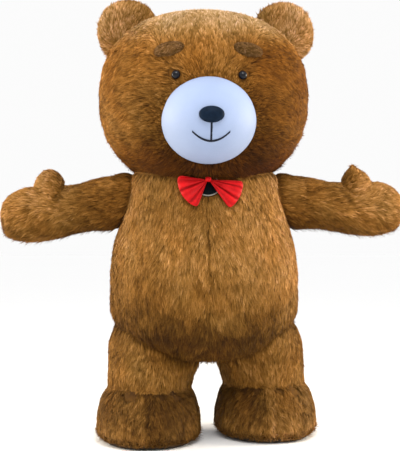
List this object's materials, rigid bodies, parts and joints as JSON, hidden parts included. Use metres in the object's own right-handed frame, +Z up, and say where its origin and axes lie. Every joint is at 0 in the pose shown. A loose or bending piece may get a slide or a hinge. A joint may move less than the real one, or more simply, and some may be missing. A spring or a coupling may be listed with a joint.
{
  "type": "bear mascot costume",
  "caption": "Walking teddy bear suit of long-pile plush, filled out and hollow, with round head, pale muzzle, mitten arms, bow tie and flat-soled feet.",
  "frame": {"origin": "inside the suit, midway between the wearer's shoulders, where the suit hangs from them", "axes": "+Z up, the bear faces -Y, its own right side is at -X"},
  "size_m": [2.4, 1.2466, 2.5979],
  "materials": {
    "brown_plush": "long-pile golden brown plush, combed, soft sheen",
    "foot_plush": "the same plush laid the other way, so it looks darker",
    "sole": "dark textured foam rubber",
    "eye_gloss": "glossy black domed plastic",
    "red_satin": "red satin with pleats",
    "muzzle_cloth": "smooth pale blue-white stretch cloth, matte",
    "nose_vinyl": "black padded cloth, slight sheen",
    "mouth_thread": "black satin-stitched line",
    "window_net": "fine black net",
    "binding_tape": "pale woven tape"
  },
  "bodies": {
    "root": {"body_front_left": "brown_plush", "body_front_right": "brown_plush", "body_back_left": "brown_plush", "body_back_right": "brown_plush", "head_cheek_left": "brown_plush", "head_cheek_right": "brown_plush", "head_back_left": "brown_plush", "head_back_right": "brown_plush", "ear_front_left": "brown_plush", "ear_front_right": "brown_plush", "ear_back_left": "brown_plush", "ear_back_right": "brown_plush", "arm_front_left": "brown_plush", "arm_front_right": "brown_plush", "arm_back_left": "brown_plush", "arm_back_right": "brown_plush", "thumb_left": "brown_plush", "thumb_right": "brown_plush", "leg_front_left": "brown_plush", "leg_front_right": "brown_plush", "leg_back_left": "brown_plush", "leg_back_right": "brown_plush", "brow_left": "brown_plush", "brow_right": "brown_plush", "head_crown": "brown_plush", "foot_inner_left": "foot_plush", "foot_inner_right": "foot_plush", "foot_outer_left": "foot_plush", "foot_outer_right": "foot_plush", "sole_left": "sole", "eye_left": "eye_gloss", "bow_left": "red_satin", "sole_right": "sole", "eye_right": "eye_gloss", "bow_right": "red_satin", "bow_knot": "red_satin", "muzzle": "muzzle_cloth", "nose": "nose_vinyl", "mouth_line": "mouth_thread", "neck_window": "window_net", "window_binding": "binding_tape"}
  },
  "joints": []
}
